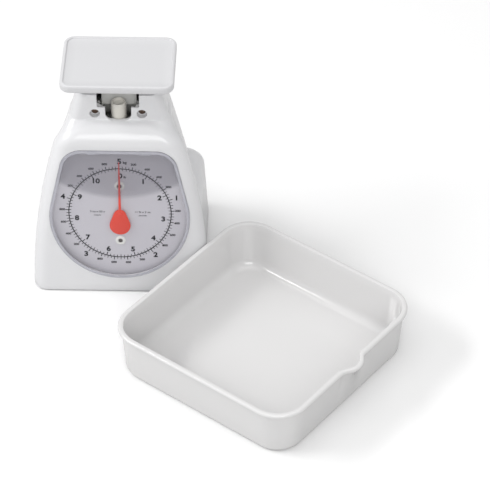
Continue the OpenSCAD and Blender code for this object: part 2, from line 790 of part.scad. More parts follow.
module zero_knob() {
    r = knob_d / 2;
    color("ivory") translate([0, knob_y, bridge_z + 0.3]) difference() {
        rotate_extrude() polygon([
            [0, 0], [r - 1, 0], [r, 1], [r - 0.3, knob_h - 1.6], [r - 1.7, knob_h],
            [r - 2.4, knob_h], [r - 3, knob_h - 0.7], [0, knob_h - 1.3]
        ]);
        translate([0, 0, -1]) cylinder(d = zero_screw_d, h = 11);
    }
}

module zero_screw() {
    color("silver") translate([0, knob_y, hanger_z - 3])
        cylinder(d = zero_screw_d, h = bridge_z + 10 - hanger_z + 3);
}

module spring_hanger() {
    color("silver") difference() {
        translate([-spring_x - 4, knob_y - 4, hanger_z]) cube([2 * spring_x + 8, 8, hanger_h]);
        translate([0, knob_y, hanger_z - 1]) cylinder(d = zero_screw_d + 0.1, h = hanger_h + 2);
        for (x = [-1, 1]) translate([x * spring_x, knob_y, hanger_z - 1])
            cylinder(d = spring_hole, h = hanger_h + 2);
    }
}

lip_h = 3.6;
bowl_top_half = bowl_side / 2 - lip_w + 0.6;
bowl_low_half = bowl_top_half - bowl_draft;

// The bowl stands turned, with its side a small gap off the housing's front right corner
bowl_turn = -36.6;
bowl_gap = 1;
bowl_slide = -39.8;
bowl_dir = [cos(bowl_turn), sin(bowl_turn)];
bowl_across = [-sin(bowl_turn), cos(bowl_turn)];
function corner_reach(z) = front_corner_r
    + bowl_dir * [hood_half(z) - front_corner_r, front_y(z) + front_corner_r];
bowl_reach = max(corner_reach(bowl_h - lip_h) + bowl_side / 2,
                 corner_reach(bowl_floor_r) + bowl_low_half) + bowl_gap;
bowl_place = bowl_reach * bowl_dir + bowl_slide * bowl_across;

module bowl_form(inset, floor_z, r) {
    hull() {
        translate([0, 0, floor_z]) for (t = [0 : 15 : 90])
            bowl_slice(r * (1 - cos(t)), bowl_low_half - r * (1 - sin(t)) - inset,
                       bowl_corner_r - r * (1 - sin(t)) * 0.5 - inset);
        bowl_slice(bowl_h + (inset > 0 ? 1 : -eps), bowl_top_half - inset, bowl_corner_r - inset);
    }
}

module bowl_slice(z, half, r) {
    for (x = [-1, 1], y = [-1, 1]) translate([x * (half - r), y * (half - r), z])
        cylinder(r = r, h = eps, $fn = 32);
}

// Pouring spout in the middle of one side; it fades out down the wall
module spout_form(inset) {
    edge = bowl_side / 2 - lip_w;
    high = bowl_h + (inset > 0 ? 1 : -eps);
    hull() {
        for (y = [-1, 1]) translate([edge - 3, y * (spout_w / 2 - 4), high - lip_h - (inset > 0 ? 1 : 0)])
            cylinder(r = 4 - inset, h = lip_h, $fn = 24);
        translate([edge + spout_out - 4, 0, high - lip_h - (inset > 0 ? 1 : 0)])
            cylinder(r = 6 - inset, h = lip_h, $fn = 24);
        translate([edge - bowl_draft * 0.6 - 5, 0, bowl_h * 0.42]) cylinder(r = 4 - inset / 2, h = eps);
    }
}

module bowl() {
    color("white") translate([bowl_place[0], bowl_place[1], 0]) rotate([0, 0, bowl_turn]) difference() {
        union() {
            bowl_form(0, 0, bowl_floor_r);
            translate([0, 0, bowl_h - lip_h]) linear_extrude(lip_h)
                round_rect(bowl_side, bowl_side, bowl_corner_r + 1);
            spout_form(0);
        }
        bowl_form(bowl_wall, bowl_wall, bowl_fillet);
        spout_form(bowl_wall);
    }
}

housing();
base_plate();
feet();
base_screws();
housing_screws();
lens();
dial_plate();
dial_screws();
dial_carrier();
pinion_bridge();
frame();
frame_screws();
frame_pins();
spring_left();
spring_right();
platform();
platform_screws();
load_bracket();
rack_arm();
rack();
rack_pin();
carriage_pins();
upper_lever();
lower_lever();
pinion_shaft();
pinion();
pointer();
zero_knob();
zero_screw();
spring_hanger();
bowl();
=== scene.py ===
"""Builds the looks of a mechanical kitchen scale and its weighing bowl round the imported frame."""

import json
import math

import bmesh
import bpy
import numpy as np
from mathutils import Matrix, Vector


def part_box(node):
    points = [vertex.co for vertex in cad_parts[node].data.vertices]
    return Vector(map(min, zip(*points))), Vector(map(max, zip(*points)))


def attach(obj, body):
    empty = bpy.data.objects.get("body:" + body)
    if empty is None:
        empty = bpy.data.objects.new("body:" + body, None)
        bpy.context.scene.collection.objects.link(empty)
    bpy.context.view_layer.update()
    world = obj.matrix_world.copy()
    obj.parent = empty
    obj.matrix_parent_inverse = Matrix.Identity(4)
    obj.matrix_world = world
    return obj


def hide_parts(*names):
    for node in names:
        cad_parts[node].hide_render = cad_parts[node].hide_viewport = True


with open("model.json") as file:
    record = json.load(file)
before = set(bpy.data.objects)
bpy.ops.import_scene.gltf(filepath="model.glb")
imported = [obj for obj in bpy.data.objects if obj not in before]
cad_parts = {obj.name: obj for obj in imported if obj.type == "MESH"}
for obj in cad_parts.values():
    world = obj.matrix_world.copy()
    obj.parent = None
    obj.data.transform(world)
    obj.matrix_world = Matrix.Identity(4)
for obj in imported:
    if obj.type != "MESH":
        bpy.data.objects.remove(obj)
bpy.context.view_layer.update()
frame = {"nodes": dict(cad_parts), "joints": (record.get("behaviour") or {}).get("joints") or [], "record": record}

bl_info = {
    "name": "Kitchen Scale Studio",
    "version": (1, 0, 0),
    "blender": (4, 5, 0),
    "location": "View3D > Sidebar > Kitchen Scale",
    "description": "Housing, dial, platform, bowl and studio of a mechanical kitchen scale",
    "category": "Object",
}

MM = 0.001
JOINTS = {joint["name"]: joint for joint in frame["joints"]}

# The dial's centre and lean come from the axis that the pointer turns about
DIAL_CENTRE = Vector(JOINTS["pointer_turn"]["pos_m"])
INTO_FACE = Vector(JOINTS["pointer_turn"]["axis"])
LEAN = math.atan2(-INTO_FACE.z, INTO_FACE.y)
DIAL = Matrix.Translation(DIAL_CENTRE) @ Matrix.Rotation(math.pi / 2 - LEAN, 4, "X")

HOUSING_LOW, HOUSING_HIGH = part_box("housing")
PLATFORM_LOW, PLATFORM_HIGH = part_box("platform")
KNOB_LOW, KNOB_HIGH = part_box("zero_knob")
BRACKET_LOW, BRACKET_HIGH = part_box("load_bracket")
BOWL_LOW, BOWL_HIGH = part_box("bowl")


def length(name, text, default):
    """A length property in metres."""
    return bpy.props.FloatProperty(name=name, description=text, default=default, unit="LENGTH",
                                   precision=5)


def colour(name, text, default):
    """A colour property."""
    return bpy.props.FloatVectorProperty(name=name, description=text, default=default,
                                         subtype="COLOR", size=3, min=0, max=1)


def strength(name, text, default):
    """How strong a light is."""
    return bpy.props.FloatProperty(name=name, description=text, default=default, min=0)


class HousingSizes(bpy.types.PropertyGroup):
    """Sizes of the moulded housing"""

    wall: length("Wall", "Thickness of the moulding", 2.2 * MM)
    front_corner: length("Front corners", "Radius of the front corners seen from above", 12 * MM)
    rear_corner: length("Rear corners", "Radius of the rear corners seen from above", 16 * MM)
    brow_radius: length("Brow", "Radius of the brow above the window", 21 * MM)
    hood_taper: length("Hood taper", "How much each side leans in up to the brow", 22 * MM)
    skirt_height: length("Skirt", "Height of the rear skirt under its shoulder", 62 * MM)
    shoulder_radius: length("Shoulder", "Radius of the skirt's shoulder", 18 * MM)
    tower_width: length("Tower width", "Width of the tower at its top", 74 * MM)
    tower_back: length("Tower back", "Distance from the centre to the rear at its top", 36 * MM)
    tower_front: length("Tower front", "Distance from the centre to the tower's front", 24 * MM)
    tower_rise: length("Tower rise", "Height of the tower above the brow", 27.5 * MM)
    tower_pinch: length("Tower pinch", "How much narrower each side is at the back", 4 * MM)
    notch_side: length("Notch side", "Gap in the notch on each side of the bracket", 3.3 * MM)
    notch_depth: length("Notch depth", "Depth of the notch below the tower's top", 13.5 * MM)
    thumb_gap: length("Thumb gap", "Gap in the lower notch on each side of the knob", 4.75 * MM)
    screw_spread: length("Screw spread", "Distance of each front screw from the centre", 21 * MM)
    screw_drop: length("Screw drop", "Depth of the front screws below the tower's top", 20.4 * MM)


class DialSizes(bpy.types.PropertyGroup):
    """Sizes of the window and of the printed dial"""

    window_radius: length("Window", "Radius of the window's round lower part", 63.8 * MM)
    window_drop: length("Window drop", "How far the round part is centred below the dial", 1.5 * MM)
    window_top: length("Window top", "Height of the top edge above the dial's centre", 68.2 * MM)
    window_flat: length("Window flat", "Length of the window's straight top edge", 67 * MM)
    window_corner: length("Window corners", "Radius of the window's two upper corners", 20 * MM)
    card_depth: length("Card depth", "Depth of the card behind the face", 6 * MM)
    ring_radius: length("Ring", "Radius of the printed ring", 46.4 * MM)
    screw_gap: length("Screw gap", "Distance between the two dial screws", 57 * MM)
    capacity: bpy.props.IntProperty(
        name="Capacity", description="Kilograms for one turn of the pointer",
        default=5, min=1, max=20)


class BowlSizes(bpy.types.PropertyGroup):
    """Sizes of the weighing bowl"""

    side: length("Side", "Side of the bowl over its lip", 200 * MM)
    corner: length("Corner", "Radius of the bowl's corners", 30 * MM)
    wall: length("Wall", "Thickness of the bowl", 2 * MM)
    draft: length("Draft", "How much each side leans in down to the floor", 3 * MM)
    floor_radius: length("Floor radius", "Outer radius between side and floor", 5 * MM)
    fillet: length("Fillet", "Inner radius between side and floor", 9 * MM)
    lip_width: length("Lip width", "Width of the rolled lip", 3.4 * MM)
    lip_height: length("Lip height", "Height of the rolled lip", 3.6 * MM)
    spout_width: length("Spout width", "Width of the pouring spout", 34 * MM)
    spout_reach: length("Spout reach", "How far the spout stands out", 7 * MM)
    turn: bpy.props.FloatProperty(
        name="Turn", description="How far the bowl is turned on the worktop",
        default=math.radians(-36.6), subtype="ANGLE")


class Finishes(bpy.types.PropertyGroup):
    """Colours of the pieces and of the studio"""

    white: colour("White", "Housing", (0.66, 0.66, 0.672))
    platform: colour("Platform", "Weighing platform", (0.585, 0.585, 0.597))
    bowl: colour("Bowl", "Weighing bowl", (0.65, 0.645, 0.644))
    card: colour("Card", "Dial card", (0.60, 0.586, 0.632))
    pointer: colour("Pointer", "Needle and counterweight", (0.78, 0.07, 0.042))
    ivory: colour("Ivory", "Zero knob", (0.62, 0.60, 0.55))
    ink: colour("Ink", "Printed scales", (0.008, 0.008, 0.01))
    floor: colour("Floor", "Worktop", (0.87, 0.87, 0.87))
    fill_light: strength("Fill", "Strength of the light all round", 0.6)
    key_light: strength("Key", "Power of the lamp at the left", 26.0)
    front_light: strength("Front", "Power of the lamp in front", 26.0)
    top_light: strength("Top", "Power of the lamp overhead", 17.0)


# ---------------------------------------------------------------- shaping

def in_mm(points):
    """Pairs of millimetres as pairs of metres."""
    return [(a * MM, b * MM) for a, b in points]


def new_piece(name, bm, body, material, replaced=(), smooth=35):
    """Makes an object of the mesh, puts it on its body and gives it its finish."""
    bmesh.ops.remove_doubles(bm, verts=bm.verts, dist=1e-7)
    bmesh.ops.recalc_face_normals(bm, faces=bm.faces)
    for face in bm.faces:
        face.smooth = True
    mesh = bpy.data.meshes.new(name)
    bm.to_mesh(mesh)
    bm.free()
    mesh.set_sharp_from_angle(angle=math.radians(smooth))
    piece = bpy.data.objects.new(name, mesh)
    bpy.context.scene.collection.objects.link(piece)
    piece.data.materials.append(material)
    if body:
        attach(piece, body)
        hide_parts(*replaced)
    return piece


def loft(bm, rings, cap_start=True, cap_end=True):
    """Extrudes a ring of edges through the given places and fills the ends."""
    first = bmesh.ops.create_circle(bm, segments=len(rings[0]), radius=1)["verts"]
    first.sort(key=lambda v: math.atan2(v.co.y, v.co.x) % math.tau)
    edges = list({edge for vert in first for edge in vert.link_edges})
    for vert, place in zip(first, rings[0]):
        vert.co = place
    start_edges = edges
    ring = first
    for places in rings[1:]:
        grown = bmesh.ops.extrude_edge_only(bm, edges=edges)["geom"]
        fresh = {item for item in grown if isinstance(item, bmesh.types.BMVert)}
        edges = [item for item in grown if isinstance(item, bmesh.types.BMEdge)
                 and item.verts[0] in fresh and item.verts[1] in fresh]
        following = [next(e.other_vert(vert) for e in vert.link_edges
                          if e.other_vert(vert) in fresh) for vert in ring]
        for vert, place in zip(following, places):
            vert.co = place
        ring = following
    if cap_start:
        bmesh.ops.edgeloop_fill(bm, edges=start_edges)
    if cap_end:
        bmesh.ops.edgeloop_fill(bm, edges=edges)


def plate(bm, outline, low, high, place=Matrix.Identity(4)):
    """Raises a flat outline from one height to another."""
    verts = [bm.verts.new(Vector((x, y, low))) for x, y in outline]
    face = bm.faces.new(verts)
    grown = bmesh.ops.extrude_face_region(bm, geom=[face])["geom"]
    top = [item for item in grown if isinstance(item, bmesh.types.BMVert)]
    bmesh.ops.translate(bm, verts=top, vec=(0, 0, high - low))
    bmesh.ops.transform(bm, matrix=place, verts=verts + top)


def block(bm, low, high, place=Matrix.Identity(4)):
    """A box between two corners."""
    outline = [(low[0], low[1]), (high[0], low[1]), (high[0], high[1]), (low[0], high[1])]
    plate(bm, outline, low[2], high[2], place)


def turned(bm, profile, place, steps=48):
    """Spins a profile of (radius, height) points about the Z axis, then puts it in place."""
    verts = [bm.verts.new((radius, 0, height)) for radius, height in profile]
    edges = [bm.edges.new(pair) for pair in zip(verts, verts[1:])]
    before = set(bm.verts)
    bmesh.ops.spin(bm, geom=verts + edges, cent=(0, 0, 0), axis=(0, 0, 1), angle=math.tau,
                   steps=steps, use_merge=True)
    whole = verts + [v for v in bm.verts if v not in before]
    bmesh.ops.remove_doubles(bm, verts=whole, dist=1e-7)
    bmesh.ops.transform(bm, matrix=place, verts=[v for v in whole if v.is_valid])


def arc(centre, radius, start, end, steps):
    """Points along an arc, with angles in radians."""
    return [(centre[0] + radius * math.cos(start + (end - start) * i / steps),
             centre[1] + radius * math.sin(start + (end - start) * i / steps))
            for i in range(steps + 1)]


def rounded_loop(half_x, half_y, radius, side_steps, corner_steps=12):
    """Outline of a rounded rectangle whose straight sides are cut into steps."""
    corners = [(1, 1), (-1, 1), (-1, -1), (1, -1)]
    loop = []
    for number, (sx, sy) in enumerate(corners):
        centre = (sx * (half_x - radius), sy * (half_y - radius))
        turn = number * math.pi / 2
        loop += arc(centre, radius, turn, turn + math.pi / 2, corner_steps)
        nx, ny = corners[(number + 1) % 4]
        ahead = (nx * (half_x - radius), ny * (half_y - radius))
        away = (radius * math.cos(turn + math.pi / 2), radius * math.sin(turn + math.pi / 2))
        for i in range(1, side_steps):
            t = i / side_steps
            loop.append((centre[0] + (ahead[0] - centre[0]) * t + away[0],
                         centre[1] + (ahead[1] - centre[1]) * t + away[1]))
    return loop


def cut(piece, cutter_bm):
    """Takes a closed cutter out of a piece."""
    bmesh.ops.recalc_face_normals(cutter_bm, faces=cutter_bm.faces)
    mesh = bpy.data.meshes.new("cutter")
    cutter_bm.to_mesh(mesh)
    cutter_bm.free()
    cutter = bpy.data.objects.new("cutter", mesh)
    bpy.context.scene.collection.objects.link(cutter)
    tool = piece.modifiers.new("cut", "BOOLEAN")
    tool.operation = "DIFFERENCE"
    tool.solver = "EXACT"
    tool.object = cutter
    settle(piece)
    bpy.data.objects.remove(cutter)
    bpy.data.meshes.remove(mesh)


def as_shown(item):
    """A new mesh of an object as its modifiers or its text leave it."""
    bpy.context.view_layer.update()
    graph = bpy.context.evaluated_depsgraph_get()
    return bpy.data.meshes.new_from_object(item.evaluated_get(graph))


def settle(piece):
    """Makes the modifiers of a piece part of its mesh."""
    shaped = as_shown(piece)
    old = piece.data
    piece.modifiers.clear()
    piece.data = shaped
    bpy.data.meshes.remove(old)


# ---------------------------------------------------------------- finishes

def surface_group():
    """Node group with a slow change of tone and a fine grain."""
    name = "surface_grain"
    if name in bpy.data.node_groups:
        return bpy.data.node_groups[name]
    group = bpy.data.node_groups.new(name, "ShaderNodeTree")
    face = group.interface
    for label, kind, default in (
            ("Colour", "NodeSocketColor", (1, 1, 1, 1)), ("Tone", "NodeSocketFloat", 0.02),
            ("Grain size", "NodeSocketFloat", 900.0), ("Grain", "NodeSocketFloat", 0.05),
            ("Stretch", "NodeSocketVector", (1, 1, 1)), ("Roughness", "NodeSocketFloat", 0.3),
            ("Roughness change", "NodeSocketFloat", 0.06)):
        socket = face.new_socket(label, in_out="INPUT", socket_type=kind)
        socket.default_value = default
    for label, kind in (("Colour", "NodeSocketColor"), ("Roughness", "NodeSocketFloat"),
                        ("Normal", "NodeSocketVector")):
        face.new_socket(label, in_out="OUTPUT", socket_type=kind)
    nodes, links = group.nodes, group.links
    given, out = nodes.new("NodeGroupInput"), nodes.new("NodeGroupOutput")
    place = nodes.new("ShaderNodeTexCoord")
    stretch = nodes.new("ShaderNodeMapping")
    links.new(place.outputs["Object"], stretch.inputs["Vector"])
    links.new(given.outputs["Stretch"], stretch.inputs["Scale"])
    cloud = nodes.new("ShaderNodeTexNoise")
    cloud.inputs["Scale"].default_value = 18
    cloud.inputs["Detail"].default_value = 3
    links.new(stretch.outputs["Vector"], cloud.inputs["Vector"])
    grain = nodes.new("ShaderNodeTexNoise")
    grain.inputs["Detail"].default_value = 2
    links.new(stretch.outputs["Vector"], grain.inputs["Vector"])
    links.new(given.outputs["Grain size"], grain.inputs["Scale"])

    def around(value, spread, base):
        """base + (value - 0.5) * spread"""
        centred = nodes.new("ShaderNodeMath")
        centred.operation = "SUBTRACT"
        centred.inputs[1].default_value = 0.5
        links.new(value, centred.inputs[0])
        scaled = nodes.new("ShaderNodeMath")
        scaled.operation = "MULTIPLY_ADD"
        links.new(centred.outputs[0], scaled.inputs[0])
        links.new(spread, scaled.inputs[1])
        if isinstance(base, float):
            scaled.inputs[2].default_value = base
        else:
            links.new(base, scaled.inputs[2])
        return scaled.outputs[0]

    tone = around(cloud.outputs["Fac"], given.outputs["Tone"], 1.0)
    tinted = nodes.new("ShaderNodeVectorMath")
    tinted.operation = "SCALE"
    links.new(given.outputs["Colour"], tinted.inputs[0])
    links.new(tone, tinted.inputs["Scale"])
    links.new(tinted.outputs["Vector"], out.inputs["Colour"])
    gloss = around(cloud.outputs["Fac"], given.outputs["Roughness change"],
                   given.outputs["Roughness"])
    links.new(gloss, out.inputs["Roughness"])
    bump = nodes.new("ShaderNodeBump")
    bump.inputs["Distance"].default_value = 0.0002
    links.new(given.outputs["Grain"], bump.inputs["Strength"])
    links.new(grain.outputs["Fac"], bump.inputs["Height"])
    links.new(bump.outputs["Normal"], out.inputs["Normal"])
    return group


def finish_of(name, colour, roughness, metallic=0.0, coat=0.0, tone=0.02, grain=0.05,
              grain_size=900.0, stretch=(1, 1, 1), change=0.015, alpha=1.0):
    """A material whose tone, gloss and grain come from the shared surface group."""
    if name in bpy.data.materials:
        return bpy.data.materials[name]
    material = bpy.data.materials.new(name)
    material.use_nodes = True
    nodes, links = material.node_tree.nodes, material.node_tree.links
    shader = nodes["Principled BSDF"]
    group = nodes.new("ShaderNodeGroup")
    group.node_tree = surface_group()
    group.inputs["Colour"].default_value = (*colour, 1)
    group.inputs["Tone"].default_value = tone
    group.inputs["Grain"].default_value = grain
    group.inputs["Grain size"].default_value = grain_size
    group.inputs["Stretch"].default_value = stretch
    group.inputs["Roughness"].default_value = roughness
    group.inputs["Roughness change"].default_value = change
    links.new(group.outputs["Colour"], shader.inputs["Base Color"])
    links.new(group.outputs["Roughness"], shader.inputs["Roughness"])
    links.new(group.outputs["Normal"], shader.inputs["Normal"])
    shader.inputs["Metallic"].default_value = metallic
    shader.inputs["Coat Weight"].default_value = coat
    shader.inputs["Alpha"].default_value = alpha
    return material


def clear_plastic():
    """Clear moulded window, with a band of painted shade across its top that ends in a shallow arc. The band
    stands in for the shadow of the brow on the card behind.
    """
    # Painted shade: the window's alpha rises across its top so that the card behind looks darker there, in place
    # of the brow's shadow.
    band_rise, band_fade, band_bend = 17 * MM, 6 * MM, -5.0
    clear_alpha, painted_shade_alpha = 0.05, 0.2
    name = "clear_plastic"
    if name in bpy.data.materials:
        return bpy.data.materials[name]
    material = bpy.data.materials.new(name)
    material.use_nodes = True
    nodes, links = material.node_tree.nodes, material.node_tree.links
    shader = nodes["Principled BSDF"]
    shader.inputs["Base Color"].default_value = (0.12, 0.115, 0.15, 1)
    shader.inputs["Roughness"].default_value = 0.06
    shader.inputs["Specular IOR Level"].default_value = 0.6
    place = nodes.new("ShaderNodeTexCoord")
    up = nodes.new("ShaderNodeVectorMath")
    up.operation = "DOT_PRODUCT"
    up.inputs[1].default_value = (0, math.sin(LEAN), math.cos(LEAN))
    links.new(place.outputs["Object"], up.inputs[0])
    split = nodes.new("ShaderNodeSeparateXYZ")
    links.new(place.outputs["Object"], split.inputs[0])
    square = nodes.new("ShaderNodeMath")
    square.operation = "MULTIPLY"
    links.new(split.outputs["X"], square.inputs[0])
    links.new(split.outputs["X"], square.inputs[1])
    arch = nodes.new("ShaderNodeMath")
    arch.operation = "MULTIPLY_ADD"
    arch.inputs[1].default_value = band_bend
    links.new(square.outputs[0], arch.inputs[0])
    links.new(up.outputs["Value"], arch.inputs[2])
    edge = DIAL_CENTRE.y * math.sin(LEAN) + DIAL_CENTRE.z * math.cos(LEAN) + band_rise
    painted_shade_band = nodes.new("ShaderNodeMapRange")
    painted_shade_band.interpolation_type = "SMOOTHSTEP"
    painted_shade_band.inputs["From Min"].default_value = edge
    painted_shade_band.inputs["From Max"].default_value = edge + band_fade
    painted_shade_band.inputs["To Min"].default_value = clear_alpha
    painted_shade_band.inputs["To Max"].default_value = painted_shade_alpha
    links.new(arch.outputs[0], painted_shade_band.inputs["Value"])
    links.new(painted_shade_band.outputs["Result"], shader.inputs["Alpha"])
    return material


def dress_frame(colours):
    """Gives every node of the frame the finish of its slot."""
    steel = finish_of("zinc_plate", (0.60, 0.60, 0.59), 0.34, metallic=1.0, tone=0.12, grain=0.12,
                      grain_size=420, stretch=(1, 1, 9), change=0.15)
    wire = finish_of("spring_wire", (0.45, 0.45, 0.46), 0.28, metallic=1.0, tone=0.1, grain=0.03)
    brass = finish_of("turned_brass", (0.72, 0.50, 0.20), 0.3, metallic=1.0, tone=0.1, grain=0.05)
    rubber = finish_of("grey_rubber", (0.06, 0.06, 0.06), 0.75, tone=0.15, grain=0.3)
    base = finish_of("base_moulding", (0.60, 0.60, 0.59), 0.5, tone=0.03, grain=0.25)
    card = finish_of("card_stock", tuple(colours.card), 0.38, tone=0.015, grain=0.02)
    white = finish_of("white_moulding", tuple(colours.white), 0.27, coat=0.2)
    tray = finish_of("platform_moulding", tuple(colours.platform), 0.35, coat=0.1)
    bowl = finish_of("bowl_moulding", tuple(colours.bowl), 0.13, coat=0.5)
    red = finish_of("needle_enamel", tuple(colours.pointer), 0.42, tone=0.04)
    ivory = finish_of("ivory_moulding", tuple(colours.ivory), 0.33, coat=0.2, tone=0.08)
    cup = finish_of("screw_enamel", (0.82, 0.82, 0.80), 0.2, coat=0.4)
    by_slot = {
        "housing_white": white, "platform_white": tray, "bowl_white": bowl, "base_white": base,
        "lens_clear": clear_plastic(), "dial_card": card, "screw_white": cup, "pointer_red": red,
        "plated_steel": steel, "spring_steel": wire, "brass": brass, "rubber": rubber,
        "knob_ivory": ivory}
    by_node = {
        "housing_screws": finish_of("bronzed_steel", (0.11, 0.07, 0.05), 0.4, metallic=0.5,
                                    tone=0.2),
        "load_bracket": finish_of("bracket_paint", (0.60, 0.60, 0.58), 0.42, tone=0.05,
                                  grain=0.08)}
    for part in frame["record"]["subparts"]:
        mesh = frame["nodes"][part["node"]].data
        mesh.materials.clear()
        mesh.materials.append(by_node.get(part["node"], by_slot[part["material_slot"]]))
    return by_slot


# ---------------------------------------------------------------- housing

RING_STEPS = 240
FAN = np.linspace(0, math.tau, 720, endpoint=False)
NORMALS = np.stack([np.cos(FAN), np.sin(FAN)], 1)
SPOKES = np.linspace(0, math.tau, RING_STEPS, endpoint=False)
SPOKE_WAYS = np.stack([np.cos(SPOKES), np.sin(SPOKES)], 1)
HUB = np.array([0.0, -5 * MM])

# The tower widens by this many millimetres times its depth in millimetres to this power
TOWER_FLARE, TOWER_FLARE_POWER = 0.48, 0.84
TOWER_BACK_LEAN, TOWER_FOOT = 0.14, 70 * MM
TOP_EDGE = 1.4 * MM
HOOD_SHOULDER, HOOD_REAR, HOOD_REAR_CORNER = 0.47, 8 * MM, 10 * MM
SKIRT_INSET, SKIRT_SIDE_LEAN, SKIRT_BACK_LEAN = 4 * MM, 0.05, 0.08
CROWN_FILLET, CROWN_FILLET_GROWTH, SKIRT_FILLET = 8, 7, 4.5 * MM
# Above its own top a form closes in this fast, and is gone once it is this far in
CLOSING, GONE = 3, 12 * MM


def reach_of(front_half, front, front_r, rear_half, rear, rear_r):
    """Distance from the hub, along each spoke, to the edge of a rounded four-cornered slice."""
    corners = [(s * (front_half - front_r), front + front_r, front_r) for s in (-1, 1)]
    corners += [(s * (rear_half - rear_r), rear - rear_r, rear_r) for s in (-1, 1)]
    support = np.max([NORMALS @ (np.array(c[:2]) - HUB) + c[2] for c in corners], axis=0)
    facing = SPOKE_WAYS @ NORMALS.T
    return np.where(facing > 0.05, support / np.maximum(facing, 0.05), 10.0).min(axis=1)


def melt(one, other, fillet):
    """The larger of two reaches, with a fillet where they meet."""
    near = np.maximum(fillet - np.abs(one - other), 0) / fillet
    return np.maximum(one, other) + near * near * fillet / 4


class HousingForm:
    """Outline of the housing at any height: a hood in front, a skirt behind and a tower on top."""

    def __init__(self, s):
        self.s = s
        self.half = HOUSING_HIGH.x
        self.front_foot = HOUSING_LOW.y - HOUSING_LOW.z * math.tan(LEAN)
        self.tower_top = HOUSING_HIGH.z
        self.hood_top = self.tower_top - s.tower_rise
        self.brow = self.hood_top - s.brow_radius

    def front(self, z):
        return self.front_foot + z * math.tan(LEAN)

    def hood_half(self, z):
        return self.half - self.s.hood_taper * (z / self.brow) ** 2

    def tower_half(self, z):
        drop = max(self.tower_top - z, 0) / MM
        return self.s.tower_width / 2 + TOWER_FLARE * MM * drop ** TOWER_FLARE_POWER

    def hood(self, z):
        s = self.s
        past = 0.0
        if z <= self.brow:
            half, front = self.hood_half(z), self.front(z)
            rear_half = min(half - 4 * MM, self.tower_half(z) - 3 * MM)
        else:
            rise = min((z - self.brow) / s.brow_radius, 1.0)
            back = s.brow_radius * (1 - math.sqrt(1 - rise * rise))
            past = max(z - self.hood_top, 0) * CLOSING
            half = self.hood_half(self.brow) - back - HOOD_SHOULDER * s.brow_radius * rise - past
            front = self.front(self.brow) + back + past
            rear_half = min(half, self.tower_half(z) - 7 * MM)
        if past > GONE:
            return np.zeros(RING_STEPS)
        return reach_of(half, front, min(s.front_corner, half - 1 * MM),
                        rear_half, HOOD_REAR, HOOD_REAR_CORNER)

    def skirt(self, z):
        s = self.s
        top = s.skirt_height
        rise = min(max(z - top, 0) / s.shoulder_radius, 1.0)
        back = s.shoulder_radius * (1 - math.sqrt(1 - rise * rise))
        back += max(z - top - s.shoulder_radius, 0) * CLOSING
        if back > s.shoulder_radius + GONE:
            return np.zeros(RING_STEPS)
        level = min(z, top)
        half = self.half - SKIRT_INSET - SKIRT_SIDE_LEAN * level - back
        rear = -self.front_foot - SKIRT_BACK_LEAN * level - back
        return reach_of(half, self.front(level) + 14 * MM + back, s.rear_corner,
                        half, rear, s.rear_corner)

    def tower(self, z):
        s = self.s
        level = max(z, TOWER_FOOT)
        half = self.tower_half(level)
        rear = s.tower_back + TOWER_BACK_LEAN * (self.tower_top - level)
        return reach_of(half, -s.tower_front, 10 * MM, half - s.tower_pinch, rear, 15 * MM)

    def ring(self, z, inset=0.0):
        climb = min(max((z - self.brow) / self.s.brow_radius, 0), 1)
        fillet = (CROWN_FILLET + CROWN_FILLET_GROWTH * climb) * MM
        crown = melt(self.hood(z), self.tower(z), fillet)
        reach = melt(crown, self.skirt(z), SKIRT_FILLET) - inset
        places = HUB + SPOKE_WAYS * reach[:, None]
        return [Vector((x, y, z)) for x, y in places]

    def heights(self):
        s = self.s
        foot = HOUSING_LOW.z + 1 * MM
        levels = list(np.arange(foot, s.skirt_height, 6 * MM))
        levels += [s.skirt_height + s.shoulder_radius * math.sin(math.radians(a))
                   for a in range(0, 91, 6)]
        levels += list(np.arange(s.skirt_height + s.shoulder_radius, self.brow, 3 * MM)[1:])
        levels += [self.brow + s.brow_radius * math.sin(math.radians(a)) for a in range(0, 91, 5)]
        levels += [self.hood_top + step * MM for step in (0.6, 1.3, 2.2, 3.4, 5, 8, 12, 16, 20, 24)]
        kept = []
        for level in sorted(levels):
            if (not kept or level - kept[-1] > 0.12 * MM) and level < self.tower_top - 1.5 * MM:
                kept.append(level)
        return kept


def window_loop(d, grow):
    """Outline of the window about the dial's centre: a round lower part and two upper corners."""
    corner = (d.window_flat / 2, d.window_top - d.window_corner)
    up = corner[1] + d.window_drop
    lean = math.acos((d.window_radius - d.window_corner) / math.hypot(corner[0], up))
    side = math.atan2(up, corner[0]) - lean
    small, big = d.window_corner + grow, d.window_radius + grow
    loop = arc((0, -d.window_drop), big, -math.pi - side, side, 90)
    loop += arc(corner, small, side, math.pi / 2, 16)
    loop += arc((-corner[0], corner[1]), small, math.pi / 2, math.pi - side, 16)
    return loop


def housing_skin(form):
    """One closed skin: down the inside from its top, round the foot and up the outside."""
    top, wall, foot = form.tower_top, form.s.wall, HOUSING_LOW.z
    levels = form.heights()
    inside = [foot] + [z for z in levels if z < top - wall - 1 * MM] + [top - wall]
    rings = [[Vector((v.x, v.y, z)) for v in form.ring(z + wall, wall)] for z in reversed(inside)]
    rings += [form.ring(foot, 0.9 * MM), form.ring(foot + 0.3 * MM, 0.3 * MM)]
    rings += [form.ring(z) for z in levels]
    for turn in (15, 35, 55, 75, 90):
        a = math.radians(turn)
        rings.append([Vector((v.x, v.y, top - TOP_EDGE + TOP_EDGE * math.sin(a)))
                      for v in form.ring(top, TOP_EDGE * (1 - math.cos(a)))])
    rings.append([Vector((v.x, v.y, top)) for v in form.ring(top, TOP_EDGE + 0.6 * MM)])
    bm = bmesh.new()
    loft(bm, rings)
    return new_piece("housing_shell", bm, "stand",
                     bpy.data.materials["white_moulding"], ["housing"])


